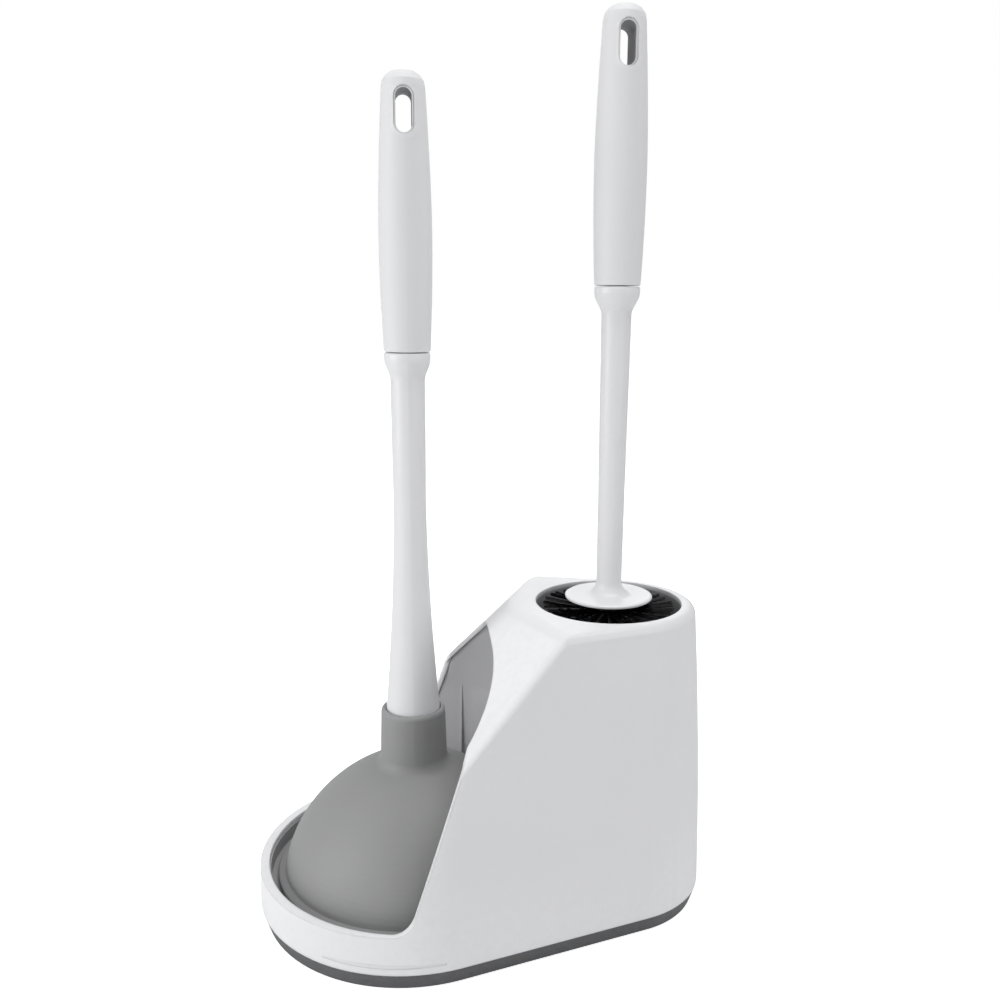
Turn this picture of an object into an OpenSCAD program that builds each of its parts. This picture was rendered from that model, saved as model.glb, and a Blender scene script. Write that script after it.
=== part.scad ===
// Toilet plunger and toilet brush standing in one shared caddy.
// Frame: +Z up, floor at z = 0, the plunger stands toward -Y and the brush toward +Y,
// and the origin is at the middle of the caddy's footprint.

/* [Caddy footprint] */
// Radius of the round plunger end, measured at the bottom of the base
front_r = 84.4; // [82:0.1:92]
// Radius of the round brush end, measured at the bottom of the base
rear_r = 53.4; // [50:0.1:62]
// Distance between the centres of the two round ends
centre_span = 113.3; // [108:0.1:130]
// Height of the dark base
base_h = 9; // [7:0.5:12]
// How far the base widens from its bottom to the seam with the shell
base_flare = 2.9; // [0:0.1:4]
// How far the foot pads stand proud of the base
foot_proud = 1; // [0.5:0.1:2]

/* [Caddy shell] */
// Height of the top face over the floor
shell_h = 177; // [165:1:200]
// Height of the low front wall over the floor
rim_h = 31; // [26:1:45]
// Wall thickness of the white shell
shell_wall = 2.6; // [2:0.1:3.2]
// Width of the turned-in lip along the side cut
rim_lip = 5; // [3.5:0.1:6]
// Radius of the low wall's opening
rim_open_r = 84.1; // [82:0.1:84.5]
// How far the centre of that opening stands behind the centre of the plunger end
rim_open_back = 3.4; // [2:0.1:4]
// Depth of that lip
rim_lip_h = 2.5; // [1.5:0.1:4]
// Inward lean of the wall over its first 100 mm
lean_straight = 2; // [0:0.1:3]
// Extra lean that curves the wall inward with height
lean_curve = 1.8; // [0:0.1:2.5]
// Radius that rounds the edge of the top face
top_edge_r = 4; // [2:0.5:5]

/* [Sloped front] */
// Angle by which each front facet turns away from straight ahead
facet_turn = 16.2; // [10:0.1:20]
// Slope of the nose line between the two facets
nose_slope = 43.7; // [40:0.1:50]
// Where the nose line meets the top, behind the centre of the plunger end
nose_back = 53; // [48:0.5:62]
// Radius that rounds the nose line
nose_r = 77; // [40:1:90]
// Where the side cut meets the low wall, behind the centre of the plunger end
cut_back = -3.9; // [-8:0.1:2]
// Steepness of the side cut
cut_angle = 71.8; // [70:0.1:80]
// Radius that softens the edges between the facets and the side walls
crease_r = 4.5; // [2:0.5:9]
// Radius that softens the edge between the facets and the top face
nose_top_r = 16; // [4:1:16]
// Radius in the corner between the low wall and the side cut
cut_fillet = 13; // [10:1:22]

/* [Plunger bay] */
// How far the round-topped opening lies inside the foot of the plunger end
bay_inset = 6; // [4.4:0.1:6.5]
// Height at which the opening starts to close in as a dome
arch_spring_h = 98.6; // [90:0.1:104]
// How far the grey lining stands back behind the white edge
lining_step = 1.6; // [0.3:0.1:2]
// Thickness of the grey lining
lining_wall = 2; // [1.6:0.1:2.4]
// Forward lean of the lining's back wall, a little less than the way that the plunger leaves
withdraw_angle = 13; // [11:0.1:13.5]
// Height of the tray's floor over the base floor
tray_lift = 15; // [13:0.5:16]
// How far the tray's wall stands outside the lining
tray_step = 1; // [0.8:0.1:1.2]
// Height of the drain ribs on the tray
drain_rib_h = 1.5; // [1:0.1:2.5]
// Number of drain ribs
drain_ribs = 8; // [6:1:12]
// Greatest depth of the thin rib on each side of the bay
side_rib_depth = 2.2; // [1:0.1:2.5]
// Direction of the two side ribs, counted from straight back
side_rib_angle = 65; // [60:1:72]

/* [Base] */
// Thickness of the base floor
base_floor = 2.5; // [2:0.1:3.5]
// Thickness of the base's outer wall
base_wall = 3.2; // [2.6:0.1:4]
// Height of the locating lip that stands up inside the shell
base_lip_h = 4; // [3:0.5:5]
// Diameter of a foot pad
foot_d = 16; // [12:1:18]
// Depth of the recess that holds a foot pad
foot_seat = 1; // [0.6:0.1:1.4]

/* [Brush well] */
// Distance from the rear centre forward to the brush axis
brush_forward = 0.8; // [0:0.1:2]
// Radius of the round opening in the top face
well_r = 41.2; // [39:0.1:42]
// Radius of the cup just above its floor
well_foot_r = 25; // [23:0.5:26]
// Height over the floor where the cup starts to narrow
well_taper_h = 97; // [94:1:110]
// Height of the well's foot over the base floor
well_lift = 2.5; // [2:0.1:4]
// Wall thickness of the cup
well_wall = 2; // [1.6:0.1:2.4]

/* [Plunger cup] */
// How far the plunger's axis stands behind the centre of the plunger end
plunger_back = 1.4; // [0:0.1:1.8]
// Radius of the sealing flange
cup_rim_r = 78.4; // [76:0.1:78.6]
// Thickness of the sealing flange
cup_rim_h = 4; // [3:0.5:6]
// Radius of the dome where it would be widest, under the flange
dome_r = 75.6; // [68:0.1:76]
// Height of the dome over that widest level
dome_h = 76; // [66:1:80]
// Depth of that widest level under the flange's upper face
dome_sink = 12.5; // [8:0.5:14]
// Roundness of the dome's shoulder
dome_power = 0.59; // [0.5:0.01:0.7]
// Rubber thickness
cup_wall = 3.5; // [2.5:0.1:4.5]
// Radius of the collar at its mouth
collar_r = 18; // [17.5:0.1:20]
// How much wider the collar is at its foot
collar_flare = 0.8; // [0:0.1:2]
// Radius in the corner between the collar and the dome
collar_fillet = 8; // [3:0.5:9]
// Height of the collar's mouth over the cup's rim
collar_top = 96.5; // [90:0.5:102]
// Rubber left under the handle inside the collar
collar_floor = 5; // [4:0.5:7]

/* [Handles] */
// Radius of the plunger handle where it enters the collar
shaft_foot_r = 15; // [13:0.1:15.2]
// Radius of the plunger handle at its waist
shaft_waist_r = 8.8; // [8:0.1:10]
// Height of that waist over the floor
shaft_waist_h = 241; // [225:1:250]
// How sharply the plunger handle flares below its waist
shaft_flare_power = 1.8; // [1.4:0.1:2.2]
// Height of the plunger's top over the floor
plunger_h = 453; // [430:1:480]
// Height of the brush's top over the floor
brush_h = 487.5; // [470:0.5:520]
// Length of each grip
grip_len = 136.5; // [125:0.5:145]
// Radius of a grip near its top
grip_top_r = 11; // [10.4:0.1:11.6]
// Greatest radius of a grip
grip_max_r = 13.7; // [12.8:0.1:14.5]
// Radius of a grip at its lower end
grip_end_r = 12.2; // [12:0.1:12.8]
// Distance from the top to the greatest radius
grip_max_at = 76; // [65:1:85]
// Radius that rounds the top of a grip
grip_round = 7.5; // [6:0.5:9]
// Length of the rounded shoulder under a grip
shoulder_len = 15; // [10:0.5:18]
// Width of the parting line between grip and shoulder
parting = 0.5; // [0.3:0.1:0.8]
// Radius of the tang inside a grip
tang_r = 6; // [5:0.1:6.6]
// Length of the tang inside a grip
tang_len = 88; // [70:1:94]

/* [Hanging slots] */
// Width of the slot in the grip
slot_w = 9.8; // [8:0.1:11]
// Length of the slot in the grip
slot_len = 22.6; // [18:0.1:25]
// Distance from the grip's top to the slot
slot_drop = 8.2; // [7.5:0.1:11]
// Thickness of the grey slot lining
slot_wall = 0.9; // [0.7:0.1:1.4]
// How far the lining stands back behind the grip's surface
slot_recess = 0.6; // [0.3:0.1:1]

/* [Brush] */
// Radius of the brush handle at its foot
rod_r = 7.15; // [6.5:0.05:8]
// Radius of the brush handle just under the shoulder
rod_top_r = 8; // [7.5:0.1:9]
// Radius of the splash disc
disc_r = 24.5; // [20:0.5:30]
// Height of the splash disc's upper face over the floor
disc_h = 181.5; // [178:0.5:195]
// Thickness of the splash disc at its rim
disc_t = 2.2; // [1.6:0.1:3]
// Radius of the fillet from the disc to the handle
disc_fillet = 7; // [4:0.5:9]
// Radius of the core that carries the bristles
core_r = 6; // [5:0.1:7]
// Height of the core's foot over the well floor
core_clear = 3; // [2:0.5:5]
// Radius of the socket in the core that takes the rod's pin
pin_r = 3.5; // [3:0.1:4]
// Length of the rod's pin
pin_len = 22; // [15:1:30]
// Number of bristle rings
bristle_rings = 6; // [6:1:6]
// Number of tufts around one tier
tufts = 16; // [12:1:18]
// Radius of a tuft
tuft_r = 1.6; // [1.2:0.1:1.8]
// Radius of the bristle head at its widest
head_r = 37.5; // [34:0.5:38]
// Radius of the bristle head at its foot
head_foot_r = 17; // [14:0.5:19]
// Bare length of the core between the bristle head and the disc
head_top_gap = 7.5; // [5:0.5:10]
// Bare length of the core under the bristle head
head_foot_gap = 2; // [1:0.5:8]

/* [Clearances] */
// Gap between pieces that only locate one another
fit_gap = 0.3; // [0.2:0.05:0.4]
// Radial gap of a glued or pressed joint
press_gap = 0.1; // [0.05:0.05:0.2]

/* [Hidden] */

WHITE = [0.93, 0.93, 0.94];
GREY = [0.62, 0.62, 0.63];
LINING_GREY = [0.60, 0.60, 0.61];
DARK_GREY = [0.34, 0.34, 0.35];
BLACK = [0.05, 0.05, 0.06];

far = 600;          // longer than anything that it cuts
overlap = 0.5;      // how far joined shapes of one piece run into each other
smooth = 96;        // facets of the large round forms
fine = 48;          // facets of the small round forms
wall_steps = 6;     // bands up the height of the caddy's wall
round_steps = 4;    // bands around a rounded edge
nose_steps = 8;     // bands on each side of the rounded nose line
crease_steps = 6;   // bands around each softened crease
top_steps = 5;      // bands around the facets' upper edge

// Footprint
caddy_len = front_r + centre_span + rear_r;
front_y = front_r - caddy_len / 2;
rear_y = front_y + centre_span;

// Heights
base_z = foot_proud;
seam_z = base_z + base_h;
floor_z = base_z + base_floor;
tray_z = floor_z + tray_lift;
tray_floor_top = tray_z + lining_wall;
cup_z = tray_floor_top + drain_rib_h;
under_top = shell_h - shell_wall;

// Plunger bay
arch_r = front_r - bay_inset;
plunger_y = front_y + plunger_back;
lining_r = arch_r + lining_step;
tray_r = lining_r + tray_step;
tray_top = rim_h - rim_lip_h - fit_gap;
cup_gap = 1.5;
back_foot_y = plunger_y + cup_rim_r + cup_gap;
back_foot_z = cup_z + cup_rim_h;

// Brush well
brush_y = rear_y - brush_forward;
well_floor_z = floor_z + well_lift + well_wall;

// Nose prism: distance of the unrounded nose line from the origin, across the prism
nose_apex = shell_h * cos(nose_slope) - (front_y + nose_back) * sin(nose_slope);

// Handles
plunger_seam_h = plunger_h - grip_len;
brush_seam_h = brush_h - grip_len;
collar_z = cup_z + collar_top;
dome_z = cup_z + cup_rim_h - dome_sink;
socket_z = dome_z + dome_h - cup_wall + collar_floor;

// Brush head
core_top = disc_h - disc_t;
core_foot = well_floor_z + core_clear;
head_foot_z = core_foot + head_foot_gap;
head_top_z = core_top - head_top_gap;
head_pitch = (head_top_z - head_foot_z) / bristle_rings;

// How far the caddy's wall has leaned in at height z
function lean(z) =
    let (h = (z - seam_z) / 100)
    lean_straight * h + lean_curve * h * h;

// Half outline of one round end of the caddy: a leaning wall with a rounded top edge
function end_outline(r, inset, z0, z1, edge) =
    let (r_top = r + base_flare - inset - lean(z1))
    concat(
        [[0, z0]],
        [for (i = [0 : wall_steps])
            let (z = z0 + (z1 - edge - z0) * i / wall_steps)
            [r + base_flare - inset - lean(z), z]],
        [for (i = [1 : round_steps])
            let (a = 90 * i / round_steps)
            [r_top - edge + edge * cos(a), z1 - edge + edge * sin(a)]],
        [[0, z1]]);

// Half outline of the flared base
function base_outline(r, inset, z0, z1) =
    [[0, z0],
     [r + base_flare * (z0 - base_z) / base_h - inset, z0],
     [r + base_flare * (z1 - base_z) / base_h - inset, z1],
     [0, z1]];

// Distance of a grip's surface from its axis, at distance t below its top
function grip_radius(t) =
    t < grip_max_at
        ? grip_max_r - (grip_max_r - grip_top_r)
            * pow((grip_max_at - t) / (grip_max_at - grip_round), 1.5)
        : grip_max_r - (grip_max_r - grip_end_r)
            * pow((t - grip_max_at) / (grip_len - grip_max_at), 2);

// Distance of the plunger handle's surface from its axis at height z, under the shoulder
function shaft_radius(z) =
    z > shaft_waist_h
        ? shaft_waist_r
        : shaft_waist_r + (shaft_foot_r - shaft_waist_r)
            * pow((shaft_waist_h - z) / (shaft_waist_h - collar_z), shaft_flare_power);

// Radius of the rubber dome where it has risen by the share u of its height
function dome_radius(r, u) = r * pow(1 - u * u, dome_power);

// Reach of the tufts that stand the given number of rings up the bristle head
function head_reach(rings) =
    head_foot_r + (head_r - head_foot_r) * sin(90 * min(1, 1.7 * rings / bristle_rings));

// Outward normal of the right facet, and of the right flank where its lean is the mean one
facet_normal = [
    sin(facet_turn),
    -sin(nose_slope) * cos(facet_turn),
    cos(nose_slope) * cos(facet_turn)
];
crease_z = shell_h - 0.35 * (shell_h - rim_h) / 2;
flank_turn = asin((front_r - rear_r) / centre_span);
flank_tilt = atan((lean(crease_z + 1) - lean(crease_z - 1)) / 2);
flank_normal = [
    cos(flank_turn) * cos(flank_tilt),
    sin(flank_turn) * cos(flank_tilt),
    sin(flank_tilt)
];

nose_normal = [0, -sin(nose_slope), cos(nose_slope)];
nose_crown = nose_apex - nose_r / cos(facet_turn) + nose_r;

// Unit direction between two others
function blend(from, to, share) =
    let (mixed = from * (1 - share) + to * share)
    mixed / norm(mixed);

// Centre of the round of radius r between the top face and the plane with this normal and distance
function edge_centre(normal, distance, r) =
    let (both = normal + [0, 0, 1])
    [0, (distance - normal[2] * shell_h) / normal[1], shell_h] - both * 2 * r / (both * both);

// Point at height z where the right facet meets the right flank
function crease_point(z) =
    let (
        wall = front_r + base_flare - lean(z) + front_y * sin(flank_turn),
        rise = nose_apex * cos(facet_turn) - z * facet_normal[2],
        spread = cos(flank_turn) * facet_normal[1] - sin(flank_turn) * facet_normal[0]
    )
    [(wall * facet_normal[1] - sin(flank_turn) * rise) / spread,
     (cos(flank_turn) * rise - wall * facet_normal[0]) / spread,
     z];

// ---- Shared shapes of the caddy ----

// The egg-shaped plan swept up along an outline: two revolved ends with flat flanks between them
module egg(front_outline, rear_outline) {
    hull() {
        translate([0, front_y, 0]) rotate_extrude($fn = smooth) polygon(front_outline);
        translate([0, rear_y, 0]) rotate_extrude($fn = smooth) polygon(rear_outline);
    }
}

module leaning_egg(inset, z0, z1, edge) {
    egg(end_outline(front_r, inset, z0, z1, edge), end_outline(rear_r, inset, z0, z1, edge));
}

module flared_egg(inset, z0, z1) {
    egg(base_outline(front_r, inset, z0, z1), base_outline(rear_r, inset, z0, z1));
}

// Everything behind two sloped planes that meet in a rounded line
module behind_planes(slope, turn, apex, r) {
    rotate([90 + slope, 0, 0])
        linear_extrude(2 * far, center = true)
            polygon(concat(
                [[far, -far], [-far, -far], [-far, apex - far * tan(turn)]],
                [for (i = [-nose_steps : nose_steps])
                    let (a = turn * i / nose_steps)
                    [r * sin(a), apex - r / cos(turn) + r * cos(a)]],
                [[far, apex - far * tan(turn)]]
            ));
}

// Everything behind the two facets, which meet in the rounded nose line
module behind_facets(inset) {
    behind_planes(nose_slope, facet_turn, nose_apex - inset / cos(facet_turn), nose_r - inset);
}

// The facets' rounded upper edge, as planes that lean back toward the top face
module behind_top_edge() {
    intersection_for (i = [1 : top_steps - 1]) {
        normal = blend(facet_normal, [0, 0, 1], i / top_steps);
        turn = asin(normal[0]);
        slope = atan2(-normal[1], normal[2]);
        apex = (normal * edge_centre(facet_normal, nose_apex * cos(facet_turn), nose_top_r)
            + nose_top_r) / cos(turn);
        ridge = [0, -sin(slope), cos(slope)];
        crown = ridge * edge_centre(nose_normal, nose_crown, nose_top_r) + nose_top_r;
        behind_planes(slope, turn, apex, (apex - crown) / (1 / cos(turn) - 1));
    }
}

// The space in front of the steep side cut and over the low wall, grown by a margin
module in_front_of_cut(margin) {
    corner_y = front_y + cut_back + margin * tan(cut_angle / 2);
    corner_z = rim_h - margin;
    r = cut_fillet + margin;
    reach = r / tan((180 - cut_angle) / 2);
    rotate([90, 0, 90])
        linear_extrude(2 * far, center = true)
            polygon(concat(
                [[-far, corner_z]],
                [for (i = [0 : 2 * round_steps])
                    let (a = cut_angle * i / (2 * round_steps))
                    [corner_y - reach + r * sin(a), corner_z + r - r * cos(a)]],
                [[corner_y + far * cos(cut_angle), corner_z + far * sin(cut_angle)],
                 [-far, corner_z + far * sin(cut_angle)]]
            ));
}

// The round-topped space that the plunger stands in
module bay_space(r, z0) {
    translate([0, front_y, z0]) cylinder(r = r, h = arch_spring_h - z0, $fn = smooth);
    translate([0, front_y, arch_spring_h]) sphere(r, $fn = smooth);
}

// Everything in front of the bay's leaning back wall
module in_front_of_back(inset) {
    translate([0, back_foot_y + inset, back_foot_z])
        rotate([withdraw_angle, 0, 0])
            translate([-far / 2, -far, -far / 2]) cube(far);
}

// The space inside the shell
module inside_shell() {
    intersection() {
        leaning_egg(shell_wall, seam_z - overlap, under_top, top_edge_r - shell_wall);
        behind_facets(shell_wall);
    }
}

// ---- Caddy ----

// What a rounded edge takes off between each facet and its side wall, as narrow planes
module crease_trim() {
    turns = norm(facet_normal + flank_normal);
    centre = crease_point(crease_z)
        - crease_r * 2 / (turns * turns) * (facet_normal + flank_normal);
    for (side = [0, 1])
        mirror([side, 0, 0])
            for (i = [1 : crease_steps - 1]) {
                normal = blend(facet_normal, flank_normal, i / crease_steps);
                translate(centre + crease_r * normal)
                    rotate([0, acos(normal[2]), atan2(normal[1], normal[0])])
                        translate([-far / 2, -far / 2, 0]) cube(far);
            }
}

module caddy_shell() {
    color(WHITE)
        difference() {
            intersection() {
                leaning_egg(0, seam_z, shell_h, top_edge_r);
                behind_facets(0);
                behind_top_edge();
            }
            crease_trim();
            difference() {
                inside_shell();
                opening_lip();
            }
            in_front_of_cut(0);
            bay_space(arch_r, rim_h);
            translate([0, brush_y, under_top - overlap])
                cylinder(r = well_r, h = shell_wall + 2 * overlap, $fn = smooth);
        }
}

// The strip that the cavity leaves standing as a lip along the low wall and the side cut
module opening_lip() {
    difference() {
        in_front_of_cut(rim_lip_h);
        leaning_egg(rim_lip, rim_h - rim_lip_h - overlap, shell_h + overlap, top_edge_r);
        translate([0, front_y + rim_open_back, 0])
            rotate_extrude($fn = smooth)
                polygon([
                    [0, seam_z],
                    [rim_open_r, seam_z],
                    [rim_open_r, rim_h],
                    [rim_open_r - rim_lip, rim_h + cut_fillet],
                    [0, rim_h + cut_fillet]
                ]);
    }
}

module base_plate() {
    color(DARK_GREY)
        difference() {
            union() {
                difference() {
                    flared_egg(0, base_z, seam_z);
                    flared_egg(base_wall, floor_z, seam_z + overlap);
                }
                base_lip();
                tray_supports();
                well_socket();
            }
            foot_places() cylinder(d = foot_d + 2 * press_gap, h = foot_seat, $fn = fine);
        }
}

// Ring that stands up inside the shell's lower edge
module base_lip() {
    inset = shell_wall + fit_gap;
    difference() {
        leaning_egg(inset, floor_z - overlap, seam_z + base_lip_h, overlap);
        leaning_egg(inset + lining_wall, floor_z - 2 * overlap, seam_z + base_lip_h + overlap, overlap);
    }
}

// Crossed ribs that carry the tray
module tray_supports() {
    rib_len = 2 * (front_r - base_wall - shell_wall - lining_wall);
    for (turn = [0, 60, 120])
        translate([0, front_y, floor_z - overlap])
            rotate([0, 0, turn])
                translate([-rib_len / 2, -lining_wall / 2, 0])
                    cube([rib_len, lining_wall, tray_lift + overlap]);
}

// Stepped ring that carries and locates the foot of the brush well
module well_socket() {
    r = well_foot_r + well_wall + fit_gap;
    translate([0, brush_y, floor_z - overlap])
        difference() {
            cylinder(r = r + lining_wall, h = 2 * well_lift + overlap, $fn = smooth);
            translate([0, 0, overlap + well_lift]) cylinder(r = r, h = far, $fn = smooth);
            translate([0, 0, -overlap]) cylinder(r = r - 2 * lining_wall, h = far, $fn = smooth);
        }
}

// Places its children at the four foot pads
module foot_places() {
    for (side = [-1, 1]) {
        foot_place_front(side) children();
        foot_place_rear(side) children();
    }
}

foot_inset = foot_d / 2 + base_wall + lining_wall;

module foot_place_front(side) {
    a = 30;
    r = front_r - foot_inset;
    translate([side * r * cos(a), front_y - r * sin(a), base_z]) children();
}

module foot_place_rear(side) {
    a = 35;
    r = rear_r - foot_inset;
    translate([side * r * cos(a), rear_y + r * sin(a), base_z]) children();
}

// Rubber disc with a rounded lower edge
module foot_pad() {
    edge = foot_proud / 2;
    color(BLACK)
        translate([0, 0, -foot_proud])
            rotate_extrude($fn = fine)
                polygon([
                    [0, 0],
                    [foot_d / 2 - edge, 0],
                    [foot_d / 2, edge],
                    [foot_d / 2, foot_proud + foot_seat],
                    [0, foot_proud + foot_seat]
                ]);
}

module drip_tray() {
    color(LINING_GREY) {
        translate([0, front_y, 0])
            difference() {
                translate([0, 0, tray_z])
                    cylinder(r = tray_r + lining_wall, h = tray_top - tray_z, $fn = smooth);
                translate([0, 0, tray_floor_top]) cylinder(r = tray_r, h = far, $fn = smooth);
            }
        drain_rib_pattern();
    }
}

// Short radial ribs that keep the cup's rim off the tray
module drain_rib_pattern() {
    inner = dome_r - cup_wall - 10;
    for (i = [0 : drain_ribs - 1])
        translate([0, plunger_y, tray_floor_top - overlap])
            rotate([0, 0, (i + 0.5) * 360 / drain_ribs])
                translate([inner, -lining_wall / 2, 0])
                    cube([cup_rim_r - inner, lining_wall, drain_rib_h + overlap]);
}

module bay_lining() {
    color(LINING_GREY)
        difference() {
            intersection() {
                union() {
                    difference() {
                        intersection() {
                            bay_space(lining_r + lining_wall, tray_top);
                            in_front_of_back(lining_wall);
                        }
                        intersection() {
                            bay_space(lining_r, tray_top - overlap);
                            in_front_of_back(0);
                        }
                    }
                    for (side = [-1, 1]) side_rib(side);
                }
                lining_limit();
            }
            in_front_of_cut(rim_lip_h + fit_gap);
        }
}

// What the shell leaves for the lining: the wall's round end and the two facets
module lining_limit() {
    inset = shell_wall + fit_gap;
    edge = top_edge_r - shell_wall;
    intersection() {
        translate([0, front_y, 0])
            rotate_extrude($fn = smooth)
                polygon(end_outline(front_r, inset, tray_top, under_top - fit_gap, edge));
        behind_facets(inset);
    }
}

// Thin rib that grows out of the bay's wall toward its foot
module side_rib(side) {
    rib_t = 1.4;
    rib_top = arch_spring_h + 4;
    translate([0, front_y, 0])
        rotate([0, 0, 90 - side * side_rib_angle])
            translate([lining_r, 0, 0])
                rotate([90, 0, 0])
                    linear_extrude(rib_t, center = true)
                        polygon([
                            [overlap, tray_top],
                            [-side_rib_depth / 4, tray_top],
                            [-side_rib_depth, tray_top + 22],
                            [0, rib_top],
                            [overlap, rib_top]
                        ]);
}

// Deep cup that stands on the base under the top face's opening and takes the bristle head
module brush_well() {
    foot_top = well_floor_z + 16;
    color(LINING_GREY)
        translate([0, brush_y, 0])
            rotate_extrude($fn = smooth)
                polygon([
                    [0, well_floor_z - well_wall],
                    [well_foot_r + well_wall - 1, well_floor_z - well_wall],
                    [well_foot_r + well_wall, well_floor_z - well_wall + 1],
                    [well_foot_r + well_wall, foot_top],
                    [well_r + well_wall, well_taper_h],
                    [well_r + well_wall, under_top],
                    [well_r, under_top],
                    [well_r, well_taper_h],
                    [well_foot_r, foot_top],
                    [well_foot_r, well_floor_z + 3],
                    [well_foot_r - 3, well_floor_z],
                    [core_r, well_floor_z],
                    [core_r, core_foot],
                    [0, core_foot]
                ]);
}

// ---- Plunger ----

// Height of the dome's surface at distance r from the axis
function dome_height(r) = dome_z + dome_h * sqrt(1 - pow(r / dome_r, 1 / dome_power));

// Round that leads from the dome up into the collar
function collar_foot_arc() =
    let (steps = 6,
         centre_r = collar_r + collar_flare + collar_fillet,
         slope = atan((dome_height(centre_r - 1) - dome_height(centre_r + 1)) / 2),
         centre_z = dome_height(centre_r) + collar_fillet / cos(slope))
    [for (i = [0 : steps])
        let (a = 270 - slope - (90 - slope) * i / steps)
        [centre_r + collar_fillet * cos(a), centre_z + collar_fillet * sin(a)]];

module plunger_cup() {
    inner_r = dome_r - cup_wall;
    inner_h = dome_h - cup_wall;
    dome_steps = 26;
    inner_steps = 14;
    crown_limit = 84;
    foot_a = asin(dome_sink / dome_h);
    inner_a = asin((cup_z - dome_z) / inner_h);
    arc = collar_foot_arc();
    crown_a = asin((dome_height(arc[0][0]) - dome_z) / dome_h);
    bore_r = shaft_foot_r + fit_gap;
    color(GREY)
        translate([0, plunger_y, 0])
            rotate_extrude($fn = smooth)
                polygon(concat(
                    // underside and sealing flange
                    [[cup_rim_r - 1, cup_z],
                     [cup_rim_r - 0.3, cup_z + 0.3],
                     [cup_rim_r, cup_z + 1],
                     [cup_rim_r, cup_z + cup_rim_h - 1.8],
                     [cup_rim_r - 0.4, cup_z + cup_rim_h - 1],
                     [cup_rim_r - 1.2, cup_z + cup_rim_h - 0.7]],
                    // outside of the dome
                    [for (i = [0 : dome_steps - 1])
                        let (u = sin(foot_a + (crown_a - foot_a) * i / dome_steps))
                        [dome_radius(dome_r, u), dome_z + dome_h * u]],
                    arc,
                    // collar, with its rounded mouth
                    [[collar_r, collar_z - 2],
                     [collar_r - 0.4, collar_z - 0.8],
                     [collar_r - 1.2, collar_z],
                     [bore_r + 0.6, collar_z],
                     [bore_r, collar_z - 0.8],
                     [bore_r, socket_z],
                     [0, socket_z],
                     [0, dome_z + inner_h * sin(crown_limit)]],
                    // inside of the dome
                    [for (i = [inner_steps : -1 : 0])
                        let (u = sin(inner_a + (crown_limit - inner_a) * i / inner_steps))
                        [dome_radius(inner_r, u), dome_z + inner_h * u]]
                ));
}

// Rounded step between a grip and the slimmer handle under it
function shoulder_outline(seam_h, r_low) =
    let (r_high = grip_end_r - 0.1, steps = 6)
    concat(
        [[r_high - 0.5, seam_h - parting], [r_high, seam_h - parting - 0.6]],
        [for (i = [0 : steps])
            let (a = 180 * i / steps)
            [(r_high + r_low) / 2 + (r_high - r_low) / 2 * cos(a),
             seam_h - shoulder_len * (0.25 + 0.75 * i / steps)]]);

function tang_outline(seam_h) =
    [[0, seam_h + tang_len],
     [tang_r - 1, seam_h + tang_len],
     [tang_r, seam_h + tang_len - 1],
     [tang_r, seam_h - parting]];

module plunger_shaft() {
    flare_steps = 14;
    tenon_taper = 1.5;
    color(WHITE)
        translate([0, plunger_y, 0])
            rotate_extrude($fn = fine)
                polygon(concat(
                    tang_outline(plunger_seam_h),
                    shoulder_outline(plunger_seam_h, shaft_waist_r + 0.2),
                    [for (i = [0 : flare_steps])
                        let (z = shaft_waist_h + (collar_z - shaft_waist_h) * i / flare_steps)
                        [shaft_radius(z), z]],
                    [[shaft_foot_r, socket_z + 8],
                     [shaft_foot_r - tenon_taper, socket_z + fit_gap],
                     [0, socket_z + fit_gap]]
                ));
}

// A swelling grip with a rounded top, a blind bore for the tang and a hanging slot
module grip(top_h, axis_y) {
    steps = 16;
    seam_h = top_h - grip_len;
    color(WHITE)
        translate([0, axis_y, 0])
            difference() {
                rotate_extrude($fn = fine)
                    polygon(concat(
                        [[0, seam_h], [grip_end_r - 0.5, seam_h], [grip_end_r, seam_h + 0.6]],
                        [for (i = [steps : -1 : 0])
                            let (t = grip_round + (grip_len - 3 - grip_round) * i / steps)
                            [grip_radius(t), top_h - t]],
                        [for (i = [1 : round_steps])
                            let (a = 90 * i / round_steps)
                            [grip_top_r - grip_round + grip_round * cos(a),
                             top_h - grip_round + grip_round * sin(a)]],
                        [[0, top_h]]
                    ));
                translate([0, 0, seam_h - overlap])
                    cylinder(r = tang_r + press_gap, h = tang_len + fit_gap + overlap, $fn = fine);
                slot_prism(top_h, 0, far);
            }
}

// Round-ended slot that runs through a grip along X
module slot_prism(top_h, inset, depth) {
    r = slot_w / 2 - inset;
    reach = slot_len / 2 - slot_w / 2;
    translate([0, 0, top_h - slot_drop - slot_len / 2])
        rotate([90, 0, 90])
            linear_extrude(depth, center = true) {
                square([2 * r, 2 * reach], center = true);
                for (end = [-1, 1]) translate([0, end * reach]) circle(r, $fn = fine);
            }
}

// Thin grey lining inside the hanging slot
module slot_lining(top_h, axis_y) {
    depth = 2 * sqrt(grip_top_r * grip_top_r - slot_w * slot_w / 4) - 2 * slot_recess;
    color(DARK_GREY)
        translate([0, axis_y, 0])
            difference() {
                slot_prism(top_h, press_gap, depth);
                slot_prism(top_h, slot_wall, far);
            }
}

// ---- Brush ----

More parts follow.
